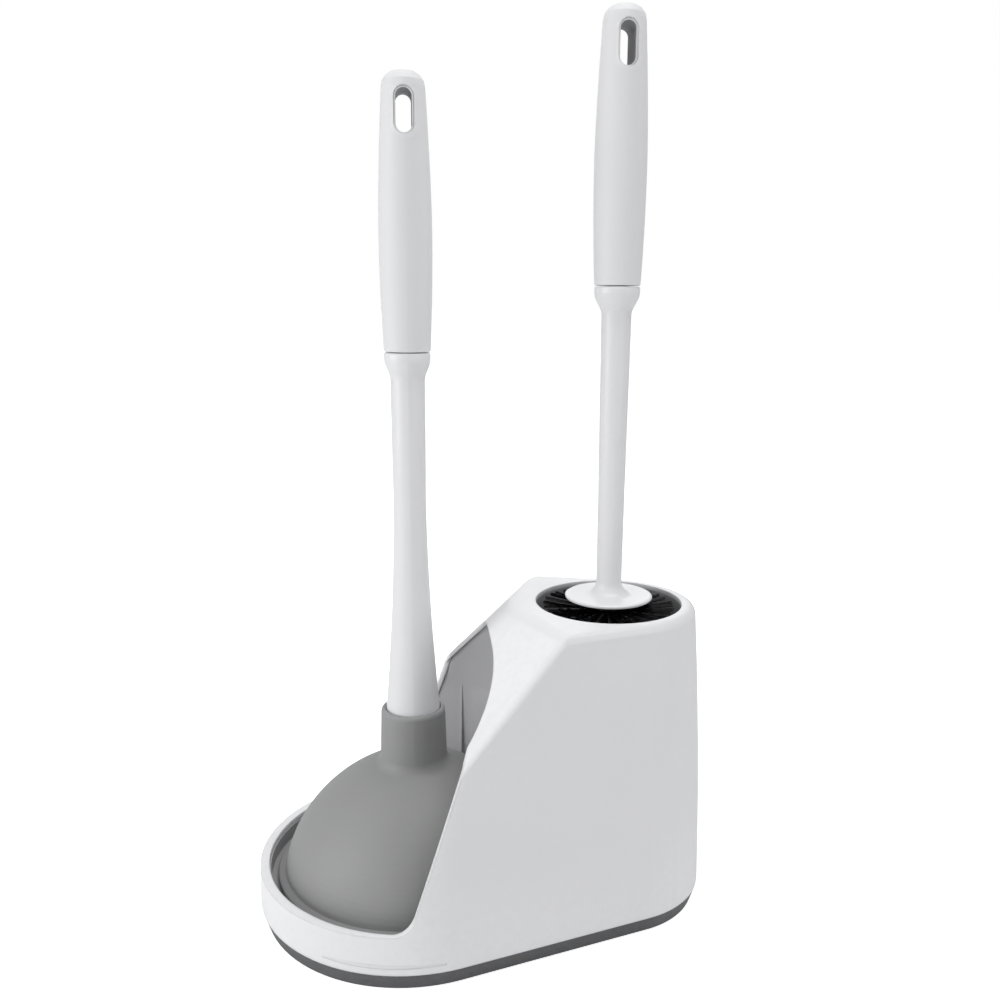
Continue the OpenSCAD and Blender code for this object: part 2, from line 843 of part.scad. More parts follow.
module brush_rod() {
    fillet_steps = 6;
    color(WHITE)
        translate([0, brush_y, 0])
            rotate_extrude($fn = fine)
                polygon(concat(
                    tang_outline(brush_seam_h),
                    shoulder_outline(brush_seam_h, rod_top_r),
                    [[rod_r + 0.3, brush_seam_h - 80]],
                    [for (i = [0 : fillet_steps])
                        let (a = 90 * i / fillet_steps)
                        [rod_r + disc_fillet * (1 - cos(a)), disc_h + disc_fillet * (1 - sin(a))]],
                    [[disc_r - 1, disc_h - 0.2],
                     [disc_r, disc_h - 0.8],
                     [disc_r, disc_h - disc_t + 0.5],
                     [disc_r - 0.6, disc_h - disc_t],
                     [pin_r, disc_h - disc_t],
                     [pin_r, core_top - pin_len + 1],
                     [pin_r - 1, core_top - pin_len],
                     [0, core_top - pin_len]]
                ));
}

module brush_core() {
    tip = 3;
    color(BLACK)
        translate([0, brush_y, 0])
            difference() {
                rotate_extrude($fn = fine)
                    polygon([
                        [0, core_foot],
                        [core_r - tip, core_foot],
                        [core_r, core_foot + tip],
                        [core_r, core_top],
                        [0, core_top]
                    ]);
                translate([0, 0, core_top - pin_len - fit_gap])
                    cylinder(r = pin_r + press_gap, h = pin_len + fit_gap + overlap, $fn = fine);
            }
}

// One ring of bristles: a sleeve on the core with two staggered tiers of tufts
module bristle_ring(index) {
    z0 = head_foot_z + (index - 1) * head_pitch;
    sleeve_r = core_r + 2;
    color(BLACK)
        translate([0, brush_y, z0])
            difference() {
                union() {
                    cylinder(r = sleeve_r, h = head_pitch - fit_gap, $fn = fine);
                    for (tier = [0, 1])
                        for (i = [0 : tufts - 1])
                            rotate([0, 0, (i + tier / 2) * 360 / tufts])
                                translate([0, 0, (0.42 + tier / 2) * head_pitch])
                                    tuft(head_reach(index - 0.58 + tier / 2), sleeve_r);
                }
                translate([0, 0, -overlap])
                    cylinder(r = core_r + press_gap, h = head_pitch + 2 * overlap, $fn = fine);
            }
}

module tuft(reach, sleeve_r) {
    translate([sleeve_r - overlap, 0, 0])
        rotate([0, 90, 0])
            cylinder(r = tuft_r, h = reach - sleeve_r + overlap, $fn = 8);
}

caddy_shell();
base_plate();
drip_tray();
bay_lining();
brush_well();
foot_place_front(-1) foot_pad();  // foot_pad_front_left
foot_place_front(1) foot_pad();  // foot_pad_front_right
foot_place_rear(-1) foot_pad();  // foot_pad_rear_left
foot_place_rear(1) foot_pad();  // foot_pad_rear_right
plunger_cup();
plunger_shaft();
grip(plunger_h, plunger_y);  // plunger_grip
slot_lining(plunger_h, plunger_y);  // plunger_slot_lining
brush_rod();
grip(brush_h, brush_y);  // brush_grip
slot_lining(brush_h, brush_y);  // brush_slot_lining
brush_core();
bristle_ring(1);  // bristle_ring_1
bristle_ring(2);  // bristle_ring_2
bristle_ring(3);  // bristle_ring_3
bristle_ring(4);  // bristle_ring_4
bristle_ring(5);  // bristle_ring_5
bristle_ring(6);  // bristle_ring_6
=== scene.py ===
"""Looks for a cup plunger and a toilet brush that stand in one caddy.

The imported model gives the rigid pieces. This script gives each of them its finish, draws a
dense bristle head in place of the plain bristle rings, adds the fine step that runs round the
front of the shell, and sets the camera, the lights and the studio floor.
"""

import logging
import math
from dataclasses import dataclass, field
from enum import Enum
from random import Random

import bpy
from bpy.types import Material, Node, NodeSocket, NodeTree, Object
from mathutils import Matrix, Vector
from mathutils.bvhtree import BVHTree


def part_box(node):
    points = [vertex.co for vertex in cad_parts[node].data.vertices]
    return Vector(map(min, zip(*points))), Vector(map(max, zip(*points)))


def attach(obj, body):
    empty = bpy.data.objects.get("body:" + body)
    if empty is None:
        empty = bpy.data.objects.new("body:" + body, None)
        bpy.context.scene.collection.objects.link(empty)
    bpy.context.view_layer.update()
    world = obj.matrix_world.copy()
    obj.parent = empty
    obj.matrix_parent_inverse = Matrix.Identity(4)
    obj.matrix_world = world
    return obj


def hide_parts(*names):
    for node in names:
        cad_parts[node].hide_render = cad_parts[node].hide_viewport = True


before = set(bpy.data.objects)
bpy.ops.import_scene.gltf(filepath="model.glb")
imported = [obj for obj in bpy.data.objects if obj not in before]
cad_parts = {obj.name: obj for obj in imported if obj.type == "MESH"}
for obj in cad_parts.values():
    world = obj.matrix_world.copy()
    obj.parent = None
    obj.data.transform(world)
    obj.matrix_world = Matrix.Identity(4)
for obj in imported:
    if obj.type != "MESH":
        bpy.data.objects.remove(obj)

Color = tuple[float, float, float]
ImagePoint = tuple[float, float]
Pair = tuple[float, float]
Points = list[Vector]
Faces = list[tuple[int, ...]]
Finishes = dict[str, Material]

log = logging.getLogger("plunger_set")
MM = 0.001
WHITE = (1.0, 1.0, 1.0, 1.0)
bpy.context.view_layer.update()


class Body(Enum):
    """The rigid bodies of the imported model."""

    CADDY = "caddy"
    PLUNGER = "plunger"
    BRUSH = "brush"


class Side(Enum):
    """Which end of what shows an image point means."""

    LEFT = "left"
    RIGHT = "right"
    TOP = "top"
    BOTTOM = "bottom"


# ---------------- camera and image points


@dataclass(frozen=True)
class StudioCamera:
    """The photograph's camera and the ray that its image points stand for."""

    place: tuple[float, float, float] = (0.5232, -0.0485, 0.3410)
    azimuth: float = 82.84
    pitch: float = 12.45
    roll: float = 0.39
    lens: float = 35.30
    sensor_width: float = 36.0
    shift_x: float = -0.0142
    shift_y: float = 0.0208
    frame_w: float = 1000.0
    frame_h: float = 1000.0

    def turn(self) -> Matrix:
        """Returns the camera's rotation."""
        return (
            Matrix.Rotation(math.radians(self.azimuth), 4, "Z")
            @ Matrix.Rotation(math.radians(90 - self.pitch), 4, "X")
            @ Matrix.Rotation(math.radians(self.roll), 4, "Z")
        )

    def build(self) -> Object:
        """Creates the camera and makes it the scene's.

        Returns:
            The camera object.
        """
        data = bpy.data.cameras.new("studio_camera")
        data.lens = self.lens
        data.sensor_width = self.sensor_width
        data.sensor_fit = "AUTO"
        data.shift_x = self.shift_x
        data.shift_y = self.shift_y
        data.clip_start = 0.01
        camera = bpy.data.objects.new("studio_camera", data)
        camera.matrix_world = Matrix.Translation(self.place) @ self.turn()
        bpy.context.scene.collection.objects.link(camera)
        bpy.context.scene.camera = camera
        return camera

    def long_side(self) -> float:
        """Returns the longer side of the photograph's frame."""
        return max(self.frame_w, self.frame_h)

    def ray(self, x: float, y: float) -> Vector:
        """Gives the direction of an image point in the scene.

        Args:
            x: Image point's distance from the left edge.
            y: Image point's distance from the top edge.

        Returns:
            The unit direction from the camera.
        """
        long_side = self.long_side()
        ray = Vector((
            x - self.frame_w / 2 + self.shift_x * long_side,
            self.frame_h / 2 - y + self.shift_y * long_side,
            -long_side * self.lens / self.sensor_width,
        ))
        return (self.turn().to_3x3() @ ray).normalized()

    def image(self, point: Vector) -> ImagePoint:
        """Gives the image point of a place in the scene.

        Args:
            point: The place, in metres.

        Returns:
            The x and y in the photograph's frame.
        """
        local = self.turn().to_3x3().transposed() @ (Vector(point) - Vector(self.place))
        long_side = self.long_side()
        scale = long_side * self.lens / self.sensor_width / -local.z
        return (
            self.frame_w / 2 - self.shift_x * long_side + local.x * scale,
            self.frame_h / 2 + self.shift_y * long_side - local.y * scale,
        )


CAMERA = StudioCamera()

# Where things show in the photograph's frame, 1000 by 1000
IMAGE_POINTS: dict[str, tuple[float | None, float | None]] = {
    "object_left": (259.5, None),
    "object_right": (697.9, None),
    "object_top": (None, 5.0),
    "object_bottom": (None, 988.0),
    "plunger_grip_top": (403.0, 72.0),
    "plunger_parting": (408.5, 353.0),
    "collar_mouth": (412.5, 717.0),
    "plunger_slot": (402.5, 111.5),
    "brush_slot": (625.5, 45.0),
    "brush_parting": (619.0, 283.5),
    "splash_disc_left": (566.0, 593.0),
    "splash_disc_right": (651.0, 594.5),
    "brush_opening_left": (535.0, 600.0),
    "brush_opening_right": (681.5, 606.0),
    "arch_crown": (492.0, 627.0),
    "crease_foot": (470.0, 762.0),
    "low_wall_corner": (400.0, 935.0),
    "front_step_line": (400.0, 969.5),
    "step_line_left": (321.0, 956.8),
    "step_line_right": (447.0, 966.0),
}


# ---------------- shader groups


class NodeSheet:
    """A small helper that lays shader nodes in one tree and joins them."""

    # Places of the share, the two colours and the result among a colour Mix node's sockets
    BLEND_INPUTS = (0, 6, 7)
    BLEND_RESULT = 2

    def __init__(self, tree: NodeTree) -> None:
        """Keeps the tree that the nodes go in.

        Args:
            tree: A material's tree or a node group.
        """
        self.tree = tree

    def add(self, kind: str, **values: object) -> Node:
        """Adds one node and sets its properties or its inputs.

        Args:
            kind: The node's type in bpy.
            **values: A property's name, or an input's name with underscores for its spaces.

        Returns:
            The new node.
        """
        node = self.tree.nodes.new(kind)
        for name, value in values.items():
            if hasattr(node, name):
                setattr(node, name, value)
            else:
                node.inputs[name.replace("_", " ")].default_value = value
        return node

    def join(self, source: NodeSocket, target: NodeSocket) -> None:
        """Links an output to an input."""
        self.tree.links.new(source, target)

    def math(self, operation: str, first: object, second: object = 0.0) -> NodeSocket:
        """Adds a math node.

        Args:
            operation: The node's operation.
            first: A socket or a number.
            second: A socket or a number.

        Returns:
            The node's output.
        """
        node = self.add("ShaderNodeMath", operation=operation)
        for slot, value in zip(node.inputs, (first, second)):
            self.feed(slot, value)
        return node.outputs[0]

    def blend(self, share: NodeSocket, first: object, second: object) -> NodeSocket:
        """Adds a node that blends two colours.

        Args:
            share: How much of the second colour shows.
            first: A socket or a colour.
            second: A socket or a colour.

        Returns:
            The blended colour.
        """
        node = self.add("ShaderNodeMix", data_type="RGBA")
        for index, value in zip(self.BLEND_INPUTS, (share, first, second)):
            self.feed(node.inputs[index], value)
        return node.outputs[self.BLEND_RESULT]

    def feed(self, slot: NodeSocket, value: object) -> None:
        """Links an input to a socket, or sets it to a number or a colour."""
        if isinstance(value, NodeSocket):
            self.join(value, slot)
        else:
            slot.default_value = value


FLOAT = "NodeSocketFloat"
COLOR = "NodeSocketColor"


def new_group(name: str, inputs: dict[str, object], outputs: dict[str, str]) -> NodeTree:
    """Makes an empty shader group with named sockets.

    Args:
        name: The group's name.
        inputs: Each input's name, with its default value: a number or a colour.
        outputs: Each output's name, with its socket type.

    Returns:
        The group, with its input and output nodes in place.
    """
    group = bpy.data.node_groups.new(name, "ShaderNodeTree")
    for socket, value in inputs.items():
        kind = COLOR if isinstance(value, tuple) else FLOAT
        made = group.interface.new_socket(name=socket, in_out="INPUT", socket_type=kind)
        made.default_value = value
    for socket, kind in outputs.items():
        group.interface.new_socket(name=socket, in_out="OUTPUT", socket_type=kind)
    group.nodes.new("NodeGroupInput")
    group.nodes.new("NodeGroupOutput")
    return group


# How much of the shade colour the slow drift brings in at most
DRIFT_SHARE = 0.35


def build_moulded_skin() -> NodeTree:
    """Builds the group for a moulded surface: fine spark grain, slow waviness and uneven gloss.

    Returns:
        The group, with a height in metres, a roughness and a mask of slow drift.
    """
    group = new_group(
        "moulded_skin",
        {
            "Grain Size": 0.0006,
            "Grain Depth": 0.00001,
            "Wave Size": 0.03,
            "Wave Depth": 0.00004,
            "Gloss Low": 0.35,
            "Gloss High": 0.45,
        },
        {"Height": FLOAT, "Roughness": FLOAT, "Drift": FLOAT},
    )
    sheet = NodeSheet(group)
    given = group.nodes["Group Input"].outputs
    result = group.nodes["Group Output"].inputs
    place = sheet.add("ShaderNodeTexCoord").outputs["Object"]
    grain = sheet.add("ShaderNodeTexNoise", Detail=3.0, Roughness=0.6)
    waves = sheet.add("ShaderNodeTexNoise", Detail=2.0, Roughness=0.5)
    for noise, size in ((grain, "Grain Size"), (waves, "Wave Size")):
        sheet.join(place, noise.inputs["Vector"])
        sheet.join(sheet.math("DIVIDE", 1.0, given[size]), noise.inputs["Scale"])
    grain_height = sheet.math("MULTIPLY", grain.outputs["Fac"], given["Grain Depth"])
    wave_height = sheet.math("MULTIPLY", waves.outputs["Fac"], given["Wave Depth"])
    sheet.join(sheet.math("ADD", grain_height, wave_height), result["Height"])
    spread = sheet.math("SUBTRACT", given["Gloss High"], given["Gloss Low"])
    uneven = sheet.math("MULTIPLY", waves.outputs["Fac"], spread)
    sheet.join(sheet.math("ADD", uneven, given["Gloss Low"]), result["Roughness"])
    sheet.join(waves.outputs["Fac"], result["Drift"])
    return group


def build_curvature_light_and_shade() -> NodeTree:
    """Builds the group that finds convex edges and hollows from the mesh's curvature, for painted
    light and shade.

    Returns:
        The group, with a mask of edges that get a painted highlight and a mask of hollows that get
        painted shade.
    """
    group = new_group(
        "curvature_light_and_shade",
        {"Reach": 0.06, "Breakup Size": 0.004},
        {"Edges": FLOAT, "Hollow_Shade": FLOAT},
    )
    sheet = NodeSheet(group)
    given = group.nodes["Group Input"].outputs
    result = group.nodes["Group Output"].inputs
    curve = sheet.add("ShaderNodeNewGeometry").outputs["Pointiness"]
    place = sheet.add("ShaderNodeTexCoord").outputs["Object"]
    patches = sheet.add("ShaderNodeTexNoise", Detail=4.0, Roughness=0.65)
    sheet.join(place, patches.inputs["Vector"])
    sheet.join(sheet.math("DIVIDE", 1.0, given["Breakup Size"]), patches.inputs["Scale"])
    # Convex edges get a painted highlight, and hollows get painted shade.
    for name, sign in (("Edges", 1.0), ("Hollow_Shade", -1.0)):
        away = sheet.math("MULTIPLY", sheet.math("SUBTRACT", curve, 0.5), sign)
        share = sheet.math("DIVIDE", away, given["Reach"])
        clamp = sheet.add("ShaderNodeClamp")
        sheet.join(sheet.math("MULTIPLY", share, patches.outputs["Fac"]), clamp.inputs[0])
        sheet.join(clamp.outputs[0], result[name])
    return group


def build_tint() -> NodeTree:
    """Builds the group that tints a base colour by slow drift, a painted highlight on edges and
    painted shade in hollows.

    Returns:
        The group, with the tinted colour.
    """
    group = new_group(
        "plastic_tint",
        {
            "Base": (0.8, 0.8, 0.8, 1.0),
            "Shade": (0.7, 0.7, 0.7, 1.0),
            "Edge": (0.9, 0.9, 0.9, 1.0),
            "Drift": 0.5,
            "Edges": 0.0,
            "Hollow_Shade": 0.0,
        },
        {"Color": COLOR},
    )
    sheet = NodeSheet(group)
    given = group.nodes["Group Input"].outputs
    result = group.nodes["Group Output"].inputs
    drift = sheet.math("MULTIPLY", given["Drift"], DRIFT_SHARE)
    drifted = sheet.blend(drift, given["Base"], given["Shade"])
    # Hollows blend toward the darker colour as painted shade, and edges toward the lighter colour
    # as a painted highlight.
    hollow_shaded = sheet.blend(given["Hollow_Shade"], drifted, given["Shade"])
    sheet.join(sheet.blend(given["Edges"], hollow_shaded, given["Edge"]), result["Color"])
    return group


# ---------------- finishes


def new_material(name: str, color: Color,
                 specular: float) -> tuple[Material, NodeSheet, Node]:
    """Makes a material with a plain Principled shader.

    Args:
        name: The material's name.
        color: The colour that it shows in a plain viewport.
        specular: The shader's specular level.

    Returns:
        The material, its sheet and its shader.
    """
    made = bpy.data.materials.new(name)
    made.use_nodes = True
    made.diffuse_color = (*color, 1.0)
    shader = made.node_tree.nodes["Principled BSDF"]
    shader.inputs["Specular IOR Level"].default_value = specular
    return made, NodeSheet(made.node_tree), shader


@dataclass(frozen=True)
class Skin:
    """How fine and deep a moulded surface's grain and waves are, in millimetres, and its gloss."""

    gloss: Pair = (0.34, 0.44)
    grain_size: float = 0.6
    grain_depth: float = 0.008
    wave_size: float = 28.0
    wave_depth: float = 0.05

    def add_to(self, sheet: NodeSheet, shader: Node,
               group: NodeTree) -> tuple[Node, Node]:
        """Places the skin group in a material and joins its roughness and its bump.

        Args:
            sheet: The material's sheet.
            shader: The material's shader.
            group: The shared skin group.

        Returns:
            The group's node and the bump node.
        """
        skin = sheet.add(
            "ShaderNodeGroup", node_tree=group,
            Grain_Size=self.grain_size * MM, Grain_Depth=self.grain_depth * MM,
            Wave_Size=self.wave_size * MM, Wave_Depth=self.wave_depth * MM,
            Gloss_Low=self.gloss[0], Gloss_High=self.gloss[1],
        )
        sheet.join(skin.outputs["Roughness"], shader.inputs["Roughness"])
        bump = sheet.add("ShaderNodeBump", Strength=1.0, Distance=1.0)
        sheet.join(skin.outputs["Height"], bump.inputs["Height"])
        sheet.join(bump.outputs["Normal"], shader.inputs["Normal"])
        return skin, bump


@dataclass(frozen=True)
class MouldedFinish:
    """A moulded plastic or rubber surface. The rounding of its edges is in millimetres."""

    name: str
    color: Color
    # Darker colour: the slow random tone, and painted shade in hollows.
    shade: Color
    # Lighter colour: a painted highlight on convex edges.
    edge: Color
    skin: Skin = Skin()
    edge_round: float = 0.6
    specular: float = 0.5

    def material(self, groups: dict[str, NodeTree]) -> Material:
        """Builds the procedural material.

        Args:
            groups: The shared shader groups by name.

        Returns:
            The material.
        """
        made, sheet, shader = new_material(self.name, self.color, self.specular)
        skin, bump = self.skin.add_to(sheet, shader, groups["skin"])
        painted_light = sheet.add("ShaderNodeGroup", node_tree=groups["painted_light"])
        # The curvature group paints a highlight on edges and shade in hollows.
        tint = sheet.add(
            "ShaderNodeGroup", node_tree=groups["tint"],
            Base=(*self.color, 1.0), Shade=(*self.shade, 1.0), Edge=(*self.edge, 1.0),
        )
        for mask, source in (("Drift", skin), ("Edges", painted_light), ("Hollow_Shade", painted_light)):
            sheet.join(source.outputs[mask], tint.inputs[mask])
        sheet.join(tint.outputs["Color"], shader.inputs["Base Color"])
        bevel = sheet.add("ShaderNodeBevel", samples=6, Radius=self.edge_round * MM)
        sheet.join(bevel.outputs["Normal"], bump.inputs["Normal"])
        return made


@dataclass(frozen=True)
class BristleFinish:
    """Black nylon filament: dark, hardly glossy, and a little paler in places."""

    name: str = "black_nylon"
    color: Color = (0.002, 0.002, 0.0023)
    tip: Color = (0.006, 0.006, 0.007)
    specular: float = 0.14
    skin: Skin = Skin((0.3, 0.5), 0.8, 0.004, 1.6, 0.004)

    def material(self, groups: dict[str, NodeTree]) -> Material:
        """Builds the procedural material.

        Args:
            groups: The shared shader groups by name.

        Returns:
            The material.
        """
        made, sheet, shader = new_material(self.name, self.color, self.specular)
        skin, _ = self.skin.add_to(sheet, shader, groups["skin"])
        tone = sheet.blend(skin.outputs["Drift"], (*self.color, 1.0), (*self.tip, 1.0))
        sheet.join(tone, shader.inputs["Base Color"])
        return made


# Each finish lists its colour, a darker colour for slow random tone and painted shade in hollows,
# and a lighter colour for a painted highlight on convex edges.
WHITE_SHELL = MouldedFinish(
    "white_shell_satin", (0.80, 0.80, 0.815), (0.77, 0.77, 0.79), (0.86, 0.86, 0.87),
    Skin((0.36, 0.46), grain_depth=0.004, wave_depth=0.03), edge_round=1.4,
)
WHITE_HANDLE = MouldedFinish(
    "white_handle_satin", (0.81, 0.81, 0.82), (0.78, 0.78, 0.80), (0.86, 0.86, 0.87),
    Skin((0.30, 0.38), wave_size=20.0, wave_depth=0.02), edge_round=0.4,
)
WHITE_GRIP = MouldedFinish(
    "white_grip_soft_touch", (0.79, 0.79, 0.80), (0.76, 0.76, 0.775), (0.84, 0.84, 0.85),
    Skin((0.50, 0.60), grain_size=0.45, grain_depth=0.012, wave_depth=0.02), edge_round=0.7,
)
# Dark grey on the inner walls of the handles' slots: painted shade for the shadow inside the slots.
SLOT_PAINTED_SHADE = MouldedFinish(
    "slot_painted_shade_soft", (0.30, 0.30, 0.31), (0.26, 0.26, 0.27), (0.36, 0.36, 0.37),
    Skin((0.50, 0.62), grain_size=0.45), edge_round=0.2,
)
BASE_GREY = MouldedFinish(
    "base_grey_satin", (0.082, 0.082, 0.085), (0.068, 0.068, 0.071), (0.125, 0.125, 0.13),
    Skin((0.40, 0.52)), edge_round=0.6,
)
LINING_GREY = MouldedFinish(
    "lining_grey_satin", (0.36, 0.36, 0.365), (0.32, 0.32, 0.325), (0.42, 0.42, 0.43),
    Skin((0.38, 0.50)), edge_round=0.5,
)
# The bay lining is the tray lining's grey plastic, made lighter as painted light so that the niche
# shows brighter.
BAY_LINING_PAINTED_LIGHT = MouldedFinish(
    "bay_lining_grey_painted_light", (0.51, 0.51, 0.52), (0.455, 0.455, 0.465), (0.59, 0.59, 0.60),
    Skin((0.38, 0.50)), edge_round=0.5,
)
CUP_RUBBER = MouldedFinish(
    "cup_rubber_matte", (0.300, 0.300, 0.302), (0.268, 0.268, 0.270), (0.345, 0.345, 0.347),
    Skin((0.52, 0.64), 0.9, 0.02, 34.0, 0.09), edge_round=0.8,
)
FOOT_RUBBER = MouldedFinish(
    "foot_rubber_black", (0.03, 0.03, 0.03), (0.02, 0.02, 0.02), (0.05, 0.05, 0.05),
    Skin((0.6, 0.75)), edge_round=0.2,
)
BLACK_NYLON = BristleFinish()


# ---------------- mesh helpers

# Where a ray that misses looks for the nearest surface: 0.3 to 0.9 m from the camera
SEARCH_STEP = 0.01
SEARCH_STEPS = range(30, 90)


def new_piece(name: str, points: Points, faces: Faces, body: Body,
              material: Material, smooth_angle: float = 40.0) -> Object:
    """Makes a mesh piece that rides on a body.

    Args:
        name: The piece's name.
        points: The vertices, in metres.
        faces: Vertex indices of each face.
        body: The body that the piece moves with.
        material: The piece's finish.
        smooth_angle: Edges sharper than this stay sharp, in degrees.

    Returns:
        The new object.
    """
    mesh = bpy.data.meshes.new(name)
    mesh.from_pydata([tuple(p) for p in points], [], faces)
    mesh.update()
    mesh.materials.append(material)
    mesh.polygons.foreach_set("use_smooth", [True] * len(mesh.polygons))
    mesh.set_sharp_from_angle(angle=math.radians(smooth_angle))
    piece = bpy.data.objects.new(name, mesh)
    bpy.context.scene.collection.objects.link(piece)
    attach(piece, body.value)
    return piece


def dress_node(name: str, material: Material) -> Object:
    """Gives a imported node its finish.

    Args:
        name: The node's name.
        material: The finish.

    Returns:
        The node's object.
    """
    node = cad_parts[name]
    if not node.data.materials:
        node.data.materials.append(material)
    for slot in node.material_slots:
        slot.material = material
    return node


def dress_rim(node: Object, material: Material, least: float = 0.35) -> Object:
    """Gives the faces of a lining that look out to either side the finish of what surrounds them.

    Args:
        node: The lining.
        material: The finish of its rims.
        least: How much a face has to look along X to belong to a rim.

    Returns:
        The lining.
    """
    rim = len(node.data.materials)
    node.data.materials.append(material)
    for face in node.data.polygons:
        if abs(face.normal.x) > least:
            face.material_index = rim
    return node


def surface_tree(*names: str) -> BVHTree:
    """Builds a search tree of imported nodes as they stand.

    Args:
        *names: The nodes' names.

    Returns:
        The tree.
    """
    points: Points = []
    faces: Faces = []
    for name in names:
        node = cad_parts[name]
        start = len(points)
        points += [node.matrix_world @ v.co for v in node.data.vertices]
        faces += [tuple(start + i for i in p.vertices) for p in node.data.polygons]
    return BVHTree.FromPolygons(points, faces)


def place_on(tree: BVHTree, x: float, y: float) -> Vector:
    """Finds where an image point lies on what carries a piece.

    Args:
        tree: The surface that carries it.
        x: The image point's x.
        y: The image point's y.

    Returns:
        The place. A miss takes the place nearest the ray.
    """
    start = Vector(CAMERA.place)
    ray = CAMERA.ray(x, y)
    hit, _, _, _ = tree.ray_cast(start, ray)
    if hit is not None:
        return hit
    spots = [tree.find_nearest(start + ray * step * SEARCH_STEP)[0] for step in SEARCH_STEPS]
    return min(spots, key=lambda spot: (spot - start - ray * (spot - start).dot(ray)).length)


# ---------------- brush


@dataclass(frozen=True)
class TuftSpread:
    """How unevenly tufts and filaments stand, in millimetres. Turn and around are in radians."""

    turn: float = 0.012
    lift: float = 0.35
    sideways: float = 0.5
    sag: Pair = (-0.4, 0.3)
    around: float = 0.3
    share: Pair = (0.75, 1.15)
    cut: Pair = (-0.8, 0.2)


@dataclass(frozen=True)
class Sleeve:
    """The moulded core that the tufts are set in, with a groove between its tiers.

    Sizes in millimetres. The grooves go in two steps, each given by how far it lies under the
    sleeve's surface and how far from the middle of the groove.
    """

    radius: float = 8.0
    bore: float = 6.1
    groove: float = 1.0
    steps: tuple[Pair, ...] = ((0.5, 0.3), (0.0, 0.9))
    sides: int = 32

    def outline(self, height: float, tiers: int) -> list[Pair]:
        """Draws the sleeve's outline.

        Args:
            height: The sleeve's height.
            tiers: How many tiers of tufts it holds.

        Returns:
            The radius and height of each corner, from the foot of the bore round to its top.
        """
        outline = [(self.bore, 0.0), (self.radius - self.groove, 0.0)]
        for i in range(tiers):
            low = height * i / tiers
            high = height * (i + 1) / tiers
            outline += [(self.radius - depth, low + away) for depth, away in self.steps]
            outline += [(self.radius - depth, high - away) for depth, away in self.steps[::-1]]
        return outline + [(self.radius - self.groove, height), (self.bore, height)]


